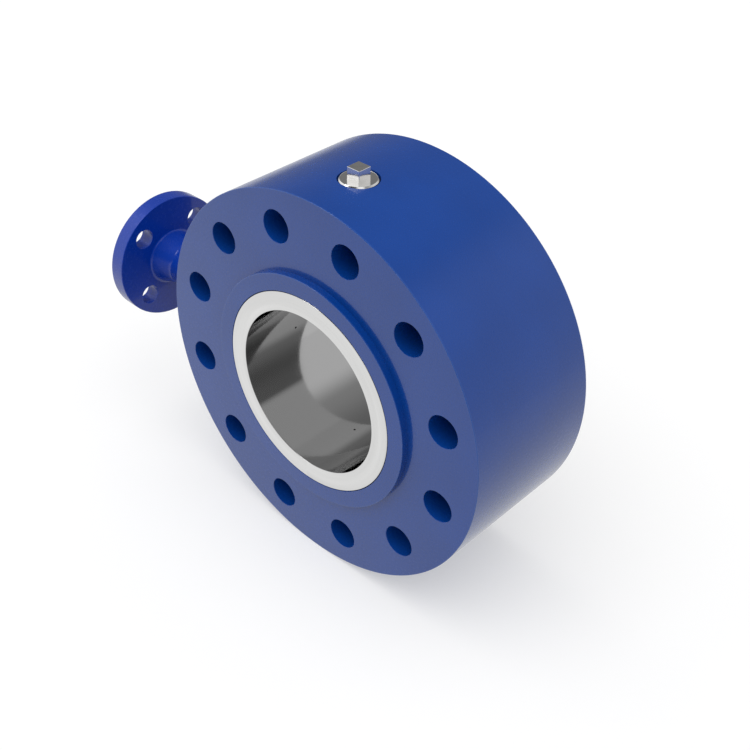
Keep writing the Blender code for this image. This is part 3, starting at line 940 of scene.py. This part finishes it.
@dataclass(frozen=True)
class SprayLiner(SubAssembly):
    """The polished ring in the bore, with its water gallery and jets."""

    bore_radius: float = 0.075
    outer_radius: float = 0.092
    gallery_radius: float = 0.085
    half_gallery: float = 0.016
    packing_floor: float = 0.088
    packing_offset: float = 0.028
    half_packing: float = 0.003
    shoulder: float = 0.0546
    shoulder_radius: float = 0.099
    retainer_face: float = 0.076
    tail_radius: float = 0.080
    front: float = -0.060
    back: float = 0.090
    edge: float = 0.0004
    orifice_radius: float = 0.001
    pocket_floor: float = 0.0776
    shank_radius: float = 0.0059
    jet_seat: float = 0.0841961
    jet_seat_radius: float = 0.0096
    washer_radius: float = 0.009
    washer_thickness: float = 0.001
    head_half_width: float = 0.008
    head_height: float = 0.004
    entry_radius: float = 0.0028
    throat_length: float = 0.0031
    clearance: float = 0.0003
    steps: int = 256
    jet_steps: int = 48

    def jets(self) -> dict[str, Axis]:
        """Return the jets' axes by side."""
        return {"right": Axis.RIGHT, "top": Axis.PLUG, "left": Axis.WATER, "bottom": Axis.DOWN}

    def groove(self, middle: float) -> list[Corner]:
        """Return the corners of one packing groove."""
        low, high = middle - self.half_packing, middle + self.half_packing
        return [
            (self.outer_radius, low, 0.0), (self.packing_floor, low, 0.0),
            (self.packing_floor, high, 0.0), (self.outer_radius, high, 0.0),
        ]

    def build_ring(self) -> None:
        """Build the liner itself."""
        edge = self.edge
        piece = lathe("polished_bore_liner", soften([
            (self.bore_radius, self.front, edge),
            (self.outer_radius, self.front, edge),
            *self.groove(-self.packing_offset),
            (self.outer_radius, -self.half_gallery, 0.0),
            (self.gallery_radius, -self.half_gallery, 0.0008),
            (self.gallery_radius, self.half_gallery, 0.0008),
            (self.outer_radius, self.half_gallery, 0.0),
            *self.groove(self.packing_offset),
            (self.outer_radius, self.shoulder, 0.0),
            (self.shoulder_radius, self.shoulder, 0.0004),
            (self.shoulder_radius, self.retainer_face, 0.0004),
            (self.tail_radius, self.retainer_face, 0.0),
            (self.tail_radius, self.back, edge),
            (self.bore_radius, self.back, edge),
        ]), Axis.STEAM, self.steps)
        for axis in self.jets().values():
            change(piece, lathe("jet_drill", [
                (self.orifice_radius, self.bore_radius - PAST),
                (self.orifice_radius, self.pocket_floor),
                (self.shank_radius + self.clearance, self.pocket_floor),
                (self.shank_radius + self.clearance, self.jet_seat),
                (self.jet_seat_radius, self.jet_seat),
                (self.jet_seat_radius, self.outer_radius),
            ], axis, self.jet_steps, solid=True))
        hand_over(piece, "liner_ring", self.finish.polished)

    def jet_master(self) -> bpy.types.Object:
        """Model one upright jet: a hex head, a shank and a throat that narrows to its hole."""
        head_base = self.jet_seat + self.washer_thickness + 2.0 * self.clearance
        head_top = head_base + self.head_height
        tip = self.pocket_floor + self.clearance
        throat = tip + self.throat_length
        corner_radius = self.head_half_width / math.cos(math.pi / 6.0)
        piece = lathe("jet_master", soften([
            (corner_radius, head_base, 0.0),
            (corner_radius, head_top - 0.0009, 0.0),
            (self.head_half_width - 0.0002, head_top, 0.0),
            (self.entry_radius, head_top, 0.0003),
            (self.entry_radius, throat + self.entry_radius - self.orifice_radius, 0.0),
            (self.orifice_radius, throat, 0.0),
            (self.orifice_radius, tip, 0.0),
            (self.shank_radius, tip, 0.0005),
            (self.shank_radius, head_base, 0.0),
        ]), Axis.PLUG, self.jet_steps)
        change(piece, lathe("jet_flats", [
            (corner_radius, head_base - 0.5 * self.clearance),
            (corner_radius, head_top + PAST),
            (2.0 * corner_radius, head_top + PAST),
            (2.0 * corner_radius, head_base - 0.5 * self.clearance),
        ], Axis.PLUG, 6))
        return piece

    def washer_master(self) -> bpy.types.Object:
        """Model one jet washer, upright."""
        low = self.jet_seat + self.clearance
        high = low + self.washer_thickness
        inner = self.shank_radius + self.clearance
        return lathe("washer_master", soften([
            (inner, low, 0.0002), (self.washer_radius, low, 0.0002),
            (self.washer_radius, high, 0.0002), (inner, high, 0.0002),
        ], 2), Axis.PLUG, self.jet_steps)

    def build_jets(self) -> None:
        """Build the four jets and their washers from one of each."""
        jet, washer = self.jet_master(), self.washer_master()
        for side, axis in self.jets().items():
            piece = turned_copy(jet, "jet_" + side, axis)
            hand_over(piece, "spray_jet_" + side, self.finish.turned)
            piece = turned_copy(washer, "washer_" + side, axis)
            hand_over(piece, "jet_washer_" + side, self.finish.copper)
        bpy.data.objects.remove(jet, do_unlink=True)
        bpy.data.objects.remove(washer, do_unlink=True)

    def build(self) -> None:
        """Build the liner with its jets."""
        self.build_ring()
        self.build_jets()


@dataclass(frozen=True)
class Retainer(SubAssembly):
    """The ring behind the liner, its spanner holes and its lock screws."""

    inner_radius: float = 0.0803
    outer_radius: float = 0.099
    front: float = 0.0763
    back: float = 0.090
    spanner_hole_count: int = 4
    spanner_circle: float = 0.0895
    spanner_hole_radius: float = 0.004
    spanner_hole_depth: float = 0.008
    spanner_hole_edge: float = 0.0005
    lock_circle: float = 0.0993
    lock_radius: float = 0.003
    lock_tip: float = 0.0774
    lock_top: float = 0.0894
    lock_angles: dict[str, float] = field(
        default_factory=lambda: {"lower": 52.5, "upper": 232.5},
    )
    socket_radius: float = 0.0017
    socket_depth: float = 0.004
    screw_edge: float = 0.0004
    clearance: float = 0.0003
    steps: int = 192
    small_steps: int = 40

    def lock_tool(self) -> bpy.types.Object:
        """Make the tool that drills for the lock screws."""
        radius = self.lock_radius + self.clearance
        drill = lathe("lock_drill", [
            (radius, self.lock_tip - self.clearance), (radius, self.back + PAST),
        ], Axis.STEAM, self.small_steps, solid=True)
        return on_circle(drill, Axis.STEAM, self.lock_circle, list(self.lock_angles.values()))

    def build(self) -> None:
        """Build the ring and its screws."""
        piece = lathe("threaded_retainer", soften([
            (self.inner_radius, self.front, 0.0004),
            (self.outer_radius, self.front, 0.0006),
            (self.outer_radius, self.back, 0.0004),
            (self.inner_radius, self.back, 0.0005),
        ]), Axis.STEAM, self.steps)
        hole, edge = self.spanner_hole_radius, self.spanner_hole_edge
        drill = lathe("spanner_drill", [
            (0.0004, self.back - self.spanner_hole_depth - 0.6 * hole),
            (hole, self.back - self.spanner_hole_depth),
            (hole, self.back - edge),
            (hole + edge, self.back),
            (hole + edge + PAST, self.back + PAST),
        ], Axis.STEAM, self.small_steps, solid=True)
        change(piece, on_circle(
            drill, Axis.STEAM, self.spanner_circle, even(self.spanner_hole_count),
        ))
        change(piece, self.lock_tool())
        hand_over(piece, "retaining_ring", self.finish.turned)
        for side, angle in self.lock_angles.items():
            self.build_lock_screw(side, angle)

    def build_lock_screw(self, side: str, angle: float) -> None:
        """Build one socket set screw.

        Args:
            side: The screw's side, as in its node's name.
            angle: Its place around the steam axis, in degrees.
        """
        piece = lathe("set_screw_" + side, [
            (0.6 * self.lock_radius, self.lock_tip),
            (self.lock_radius, self.lock_tip + 0.4 * self.lock_radius),
            (self.lock_radius, self.lock_top - self.screw_edge),
            (self.lock_radius - self.screw_edge, self.lock_top),
        ], Axis.STEAM, self.small_steps, solid=True)
        change(piece, lathe("socket_punch", [
            (self.socket_radius, self.lock_top - self.socket_depth),
            (self.socket_radius, self.lock_top + 0.001),
        ], Axis.STEAM, 6, solid=True))
        piece = on_circle(piece, Axis.STEAM, self.lock_circle, [angle])
        piece.name = "set_screw_" + side
        hand_over(piece, "lock_screw_" + side, self.finish.dark)


@dataclass(frozen=True)
class InletBranch(SubAssembly):
    """The water inlet: weld neck flange, neck, welds and thermal sleeve."""

    bore_radius: float = 0.0136
    face: float = 0.2687
    face_radius: float = 0.0254
    rim_outer: float = 0.2671
    rim_inner: float = 0.2512
    rim_radius: float = 0.062
    edge: float = 0.0008
    hub_radius: float = 0.0272
    hub_end: float = 0.2324
    hub_end_radius: float = 0.02059
    hub_fillet: float = 0.0024
    bolt_count: int = 4
    bolt_circle: float = 0.04445
    bolt_hole_radius: float = 0.00955
    hole_edge: float = 0.0002
    neck_radius: float = 0.0197
    neck_end: float = 0.2284
    neck_foot: float = 0.1706
    weld_steps: int = 8
    fillet_leg: float = 0.007
    fillet_foot: float = 0.0055
    fillet_steps: int = 6
    fillet_gap: float = 0.0001
    trim_reach: Span = (-0.05, 0.08)
    body_radius: float = BodyRing.radius
    sleeve_radius: float = 0.0127
    sleeve_bore: float = 0.010
    sleeve_tip: float = 0.0971
    collar_radius: float = 0.017
    collar_base: float = 0.2657
    collar_seat_radius: float = 0.0173
    collar_seat: float = 0.2654
    steps: int = 128
    hole_steps: int = 48

    def build_flange(self) -> None:
        """Build the weld neck flange."""
        piece = lathe("weld_neck_flange", soften([
            (self.bore_radius, self.hub_end, 0.0),
            (self.hub_end_radius, self.hub_end, 0.0),
            (self.hub_radius, self.rim_inner, self.hub_fillet),
            (self.rim_radius, self.rim_inner, self.edge),
            (self.rim_radius, self.rim_outer, self.edge),
            (self.face_radius, self.rim_outer, 0.0004),
            (self.face_radius, self.face, 0.0004),
            (self.collar_seat_radius, self.face, 0.0),
            (self.collar_seat_radius, self.collar_seat, 0.0),
            (self.bore_radius, self.collar_seat, 0.0),
        ], 6), Axis.WATER, self.steps)
        wide = self.bolt_hole_radius + self.hole_edge
        drill = lathe("inlet_drill", [
            (wide + PAST, self.rim_inner - PAST),
            (wide, self.rim_inner),
            (self.bolt_hole_radius, self.rim_inner + self.hole_edge),
            (self.bolt_hole_radius, self.rim_outer - self.hole_edge),
            (wide, self.rim_outer),
            (wide + PAST, self.rim_outer + PAST),
        ], Axis.WATER, self.hole_steps, solid=True)
        change(piece, on_circle(drill, Axis.WATER, self.bolt_circle, even(self.bolt_count)))
        hand_over(piece, "inlet_flange", self.finish.branch_paint)

    def build_neck(self) -> None:
        """Build the neck and the weld to the hub, which is ground to a smooth hollow curve."""
        neck = lathe("neck_pipe", [
            (self.bore_radius, self.neck_foot),
            (self.neck_radius, self.neck_foot),
            (self.neck_radius, self.neck_end),
            (self.bore_radius, self.neck_end),
        ], Axis.WATER, self.steps)
        hand_over(neck, "inlet_neck", self.finish.branch_paint)
        length = self.hub_end - self.neck_end
        rise = self.hub_end_radius - self.neck_radius
        outline = [(self.bore_radius, self.neck_end)]
        for step in range(self.weld_steps + 1):
            share = step / self.weld_steps
            outline.append((self.neck_radius + rise * share ** 2, self.neck_end + length * share))
        outline.append((self.bore_radius, self.hub_end))
        weld = lathe("hub_weld", outline, Axis.WATER, self.steps)
        hand_over(weld, "inlet_butt_weld", self.finish.branch_paint)

    def build_fillet_weld(self) -> None:
        """Build the weld around the neck, trimmed to the body's round outside."""
        inner = self.neck_radius
        leg = self.fillet_leg
        foot = self.body_radius - self.fillet_foot
        outline = [(inner, foot), (inner + leg, foot), (inner + leg, self.body_radius)]
        for step in range(1, self.fillet_steps + 1):
            angle = 0.5 * math.pi * step / self.fillet_steps
            outline.append((
                inner + leg * (1.0 - math.sin(angle)),
                self.body_radius + leg * (1.0 - math.cos(angle)),
            ))
        piece = lathe("neck_weld", outline, Axis.WATER, self.steps)
        around = self.body_radius + self.fillet_gap
        change(piece, lathe("body_trim", [
            (around, place) for place in self.trim_reach
        ], Axis.STEAM, BodyRing.steps, solid=True))
        hand_over(piece, "neck_fillet_weld", self.finish.weld_paint, degrees=50.0)

    def build_sleeve(self) -> None:
        """Build the thermal sleeve with its clamping collar."""
        piece = lathe("inlet_sleeve", soften([
            (self.sleeve_bore, self.sleeve_tip, 0.0006),
            (self.sleeve_radius, self.sleeve_tip, 0.0006),
            (self.sleeve_radius, self.collar_base, 0.0004),
            (self.collar_radius, self.collar_base, 0.0003),
            (self.collar_radius, self.face, 0.0003),
            (self.sleeve_bore, self.face, 0.0008),
        ]), Axis.WATER, self.steps)
        hand_over(piece, "thermal_sleeve", self.finish.sleeve_steel)

    def build(self) -> None:
        """Build every piece of the branch."""
        self.build_flange()
        self.build_neck()
        self.build_fillet_weld()
        self.build_sleeve()


@dataclass(frozen=True)
class AccessPlug(SubAssembly):
    """The square headed screw plug and its copper washer.

    The ridge half is half the width of the thread's ridge, as a share of the pitch.
    """

    head_width: float = 0.013
    head_top: float = 0.1878
    head_sunk: float = 0.002
    head_edge: float = 0.0005
    side_edge: float = 0.0004
    collar_radius: float = 0.0163
    collar_edge: float = 0.0014
    collar_top: float = 0.178
    collar_base: float = 0.1735
    thread_radius: float = 0.0132
    thread_depth: float = 0.00116
    thread_pitch: float = 0.0254 / 14.0
    thread_turns: int = 8
    ridge_half: float = 0.46
    neck_length: float = 0.0025
    tip: float = 0.1535
    tip_edge: float = 0.0015
    washer_base: float = 0.1717
    washer_top: float = 0.1732
    washer_bore: float = 0.0135
    steps: int = 96

    def head(self) -> bpy.types.Object:
        """Make the square head with its broken edges."""
        deselect()
        sunk = self.collar_top - self.head_sunk
        bpy.ops.mesh.primitive_cube_add(
            size=1.0, location=(0.0, 0.0, 0.5 * (sunk + self.head_top)),
        )
        piece = bpy.context.object
        piece.scale = (self.head_width, self.head_width, self.head_top - sunk)
        settle(piece)
        bpy.ops.object.mode_set(mode="EDIT")
        self.bevel_edges(piece, upright=True, width=self.side_edge, segments=3)
        self.bevel_edges(piece, upright=False, width=self.head_edge, segments=2)
        bpy.ops.object.mode_set(mode="OBJECT")
        return piece

    def bevel_edges(
        self, piece: bpy.types.Object, upright: bool, width: float, segments: int,
    ) -> None:
        """Bevel the head's upright edges or those around its top.

        Args:
            piece: The head, in edit mode.
            upright: True for the upright edges, False for those around the top.
            width: The bevel's width.
            segments: The number of faces across the bevel.
        """
        mesh = bmesh.from_edit_mesh(piece.data)
        bpy.ops.mesh.select_mode(type="EDGE")
        bpy.ops.mesh.select_all(action="DESELECT")
        for edge in mesh.edges:
            rise = abs(edge.verts[0].co.z - edge.verts[1].co.z)
            high = min(vert.co.z for vert in edge.verts) > self.head_top - 0.5 * self.side_edge
            edge.select_set(rise > self.side_edge if upright else high)
        bmesh.update_edit_mesh(piece.data)
        bpy.ops.mesh.bevel(offset=width, segments=segments, affect="EDGES")

    def thread(self) -> bpy.types.Object:
        """Make the thread's ridge as one long screw around the shank."""
        deselect()
        half = self.ridge_half * self.thread_pitch
        root = self.thread_radius - self.thread_depth
        start = self.tip + self.tip_edge + half
        bpy.ops.mesh.primitive_circle_add(
            vertices=4, radius=half, location=(root, 0.0, start),
            rotation=(0.5 * math.pi, 0.0, 0.0),
        )
        piece = settle(bpy.context.object)
        bpy.ops.object.mode_set(mode="EDIT")
        bpy.ops.mesh.select_all(action="SELECT")
        bpy.ops.transform.resize(
            value=(self.thread_depth / half, 1.0, 1.0), center_override=(root, 0.0, start),
        )
        bpy.ops.object.mode_set(mode="OBJECT")
        bpy.ops.object.modifier_add(type="SCREW")
        modifier = piece.modifiers[-1]
        modifier.screw_offset = self.thread_pitch
        modifier.iterations = self.thread_turns
        modifier.steps = self.steps
        modifier.render_steps = self.steps
        bpy.ops.object.modifier_apply(modifier=modifier.name)
        bpy.ops.object.mode_set(mode="EDIT")
        bpy.ops.mesh.select_mode(type="EDGE")
        bpy.ops.mesh.select_all(action="DESELECT")
        bpy.ops.mesh.select_non_manifold()
        bpy.ops.mesh.edge_face_add()
        bpy.ops.mesh.select_all(action="SELECT")
        bpy.ops.mesh.normals_make_consistent(inside=False)
        bpy.ops.object.mode_set(mode="OBJECT")
        return piece

    def build(self) -> None:
        """Build the plug and its washer."""
        root = self.thread_radius - self.thread_depth
        piece = lathe("square_plug", soften([
            (root - self.tip_edge, self.tip, 0.0),
            (root, self.tip + self.tip_edge, 0.0),
            (root, self.collar_base, 0.0),
            (self.collar_radius, self.collar_base, 0.0004),
            (self.collar_radius, self.collar_top - self.collar_edge, 0.0002),
            (self.collar_radius - self.collar_edge, self.collar_top, 0.0002),
        ]), Axis.PLUG, self.steps, solid=True)
        change(piece, self.head(), Cut.ADD)
        piece = join([piece, self.thread()])
        hand_over(
            piece, "access_plug", self.finish.plug_steel, body="plug", degrees=28.0,
        )
        washer = lathe("plug_gasket", soften([
            (self.washer_bore, self.washer_base, 0.0003),
            (self.collar_radius, self.washer_base, 0.0003),
            (self.collar_radius, self.washer_top, 0.0003),
            (self.washer_bore, self.washer_top, 0.0003),
        ], 3), Axis.PLUG, self.steps)
        hand_over(
            washer, "plug_washer", self.finish.copper, body="sealing_washer",
        )


@dataclass(frozen=True)
class HiddenSeals(SubAssembly):
    """The CAD nodes that keep their own shape: packings, gasket and dowel."""

    seals: tuple[str, ...] = ("front_packing_ring", "rear_packing_ring", "shoulder_gasket")
    dowel: str = "locating_dowel"

    def dress(self) -> None:
        """Give the carried-over nodes their finish."""
        for name in self.seals:
            self.coat(name, self.finish.graphite)
        self.coat(self.dowel, self.finish.turned)

    def coat(self, name: str, material: bpy.types.Material) -> None:
        """Put one material in every slot of a node.

        Args:
            name: The node's name.
            material: The material.
        """
        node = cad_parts[name]
        if not node.material_slots:
            node.data.materials.append(material)
        for holder in node.material_slots:
            holder.material = material
        log.info("%s: keeps its CAD shape", name)


# Studio


@dataclass(frozen=True)
class Sun:
    """A wide soft lamp, far away, that adds no spot to what the surfaces mirror."""

    name: str
    towards: Place
    strength: float
    width: float

    def hang(self) -> None:
        """Add the lamp to the scene."""
        lamp = bpy.data.lights.new(self.name, "SUN")
        lamp.energy = self.strength
        lamp.angle = math.radians(self.width)
        holder = bpy.data.objects.new(self.name, lamp)
        bpy.context.collection.objects.link(holder)
        holder.location = self.towards
        holder.rotation_euler = Vector(self.towards).to_track_quat("Z", "Y").to_euler()
        holder.visible_glossy = False


@dataclass(frozen=True)
class Patch:
    """A round patch on the surroundings, with a soft rim.

    Rim and core are the cosines of the angles at which it starts and within which it is full.
    """

    towards: Place
    rim: float
    core: float
    level: float
    outside: float = 0.0

    def paint(self, book: Book, place: Wire) -> Wire:
        """Return the patch's level in every direction."""
        turned = book.along(place, self.towards)
        return book.ramp(turned, self.rim, self.core, self.outside, self.level)


@dataclass(frozen=True)
class Studio:
    """The floor, the surroundings, the lamps and the camera."""

    floor_height: float = -0.1778
    floor_size: float = 14.0
    floor_albedo: float = 0.58
    floor_lift: float = 0.42
    ambient: float = 0.40
    arch: Span = (0.18, 0.33)
    arch_reach: float = 0.60
    left_wall: float = 1.06
    left_edge: Span = (-0.85, -0.30)
    right_wall: float = 0.69
    right_edge: Span = (0.55, 0.85)
    ground: float = 0.76
    ground_edge: Span = (-0.36, 0.04)
    front_light: Patch = Patch((0.45, -0.45, 0.77), 0.82, 0.95, 1.0)
    black_flag: Patch = Patch((0.05, -0.80, 0.60), 0.81, 0.90, 0.1, outside=1.0)
    window: Patch = Patch((-0.48, -0.34, 0.81), 0.970, 0.988, 5.0)
    camera_place: Place = (0.5402, -0.5710, 0.5850)
    camera_back: Place = (0.57657, -0.57576, 0.57971)
    camera_right: Place = (0.70661, 0.70760, 0.0)
    lens: float = 54.52
    shift_x: float = 0.06025
    shift_y: float = -0.04906
    lamps: tuple[Sun, ...] = (
        Sun("key_sun", (0.20, -0.35, 1.3), 1.86, 70.0),
        Sun("side_sun", (-1.0, -0.4, 0.9), 0.45, 70.0),
    )

    def ray_kinds(self, book: Book) -> tuple[Wire, Wire]:
        """Tell rays that see a surface straight or through glass from those that mirror it.

        Args:
            book: The node tree.

        Returns:
            Two wires that are 1 for the first and for the second kind of ray.
        """
        rays = book.node("ShaderNodeLightPath")
        seen = book.maths(
            "MAXIMUM", book.out(rays, "Is Camera Ray"), book.out(rays, "Is Transmission Ray"),
        )
        return seen, book.out(rays, "Is Glossy Ray")

    def build_floor(self) -> None:
        """Make the pale floor, which looks white around the object's shadow.

        What mirrors sees the surroundings in its place.
        """
        deselect()
        bpy.ops.mesh.primitive_plane_add(
            size=self.floor_size, location=(0.0, 0.0, self.floor_height),
        )
        floor = bpy.context.object
        floor.name = "studio_floor"
        bpy.ops.object.mode_set(mode="EDIT")
        bpy.ops.mesh.subdivide(number_cuts=8)
        bpy.ops.object.mode_set(mode="OBJECT")
        settle(floor)
        book = Coating("pale_floor")
        seen, _ = self.ray_kinds(book)
        floor.data.materials.append(book.finish(
            Base_Color=(self.floor_albedo,) * 3,
            Roughness=1.0,
            Specular_IOR_Level=0.0,
            Emission_Color=book.blend(seen, (0.0, 0.0, 0.0), (1.0, 1.0, 1.0)),
            Emission_Strength=self.floor_lift,
        ))
        floor.visible_glossy = False

    def build_world(self) -> None:
        """Make the surroundings.

        The camera sees plain white. What mirrors sees a white wall on the left, a pale one on the
        right, a grey arch between them over pale ground, a soft light in front with a black flag
        beside it, and a small bright window. Soft light comes evenly from all over.
        """
        world = bpy.data.worlds.new("studio_world")
        world.use_nodes = True
        bpy.context.scene.world = world
        book = Book(world.node_tree)
        place = book.out(book.node("ShaderNodeTexCoord"), "Generated")
        side = book.along(place, self.camera_right)
        up = book.along(place, (0.0, 0.0, 1.0))
        dim, pale = self.arch
        arch = book.ramp(book.maths("ABSOLUTE", side), 0.0, self.arch_reach, dim, pale)
        right = book.ramp(side, *self.right_edge, 0.0, self.right_wall - pale)
        left = book.ramp(side, *self.left_edge, self.left_wall - pale, 0.0)
        ground = book.ramp(up, *self.ground_edge, self.ground, 0.0)
        walls = book.maths("MAXIMUM", arch + right + left, ground)
        walls = book.maths("MAXIMUM", walls, self.front_light.paint(book, place))
        walls = walls * self.black_flag.paint(book, place)
        mirrored = book.maths("MAXIMUM", walls, self.window.paint(book, place))
        seen, glossy = self.ray_kinds(book)
        level = self.ambient * (1.0 - glossy) + mirrored * glossy
        level = level * (1.0 - seen) + seen
        background = world.node_tree.nodes["Background"]
        book.dress(background, Color=(1.0, 1.0, 1.0), Strength=level)

    def build_camera(self) -> None:
        """Make the camera that sees what the photograph shows."""
        camera = bpy.data.cameras.new("photo_camera")
        camera.lens = self.lens
        camera.sensor_width = 36.0
        camera.shift_x = self.shift_x
        camera.shift_y = self.shift_y
        camera.clip_start = 0.01
        camera.clip_end = 50.0
        holder = bpy.data.objects.new("photo_camera", camera)
        bpy.context.collection.objects.link(holder)
        holder.location = self.camera_place
        holder.rotation_euler = Vector(self.camera_back).to_track_quat("Z", "Y").to_euler()
        bpy.context.scene.camera = holder

    def build(self) -> None:
        """Build the whole studio."""
        self.build_floor()
        self.build_world()
        for lamp in self.lamps:
            lamp.hang()
        self.build_camera()
        bpy.context.scene.view_settings.view_transform = "Standard"


def main() -> None:
    """Build and dress the whole desuperheater, piece by piece."""
    logging.basicConfig(level=logging.INFO, format="%(message)s")
    finish = make_palette(BodyRing.rims())
    retainer = Retainer(finish)
    BodyRing(finish).build(retainer)
    SprayLiner(finish).build()
    retainer.build()
    InletBranch(finish).build()
    AccessPlug(finish).build()
    HiddenSeals(finish).dress()
    Studio().build()


if __name__ == "__main__":
    main()
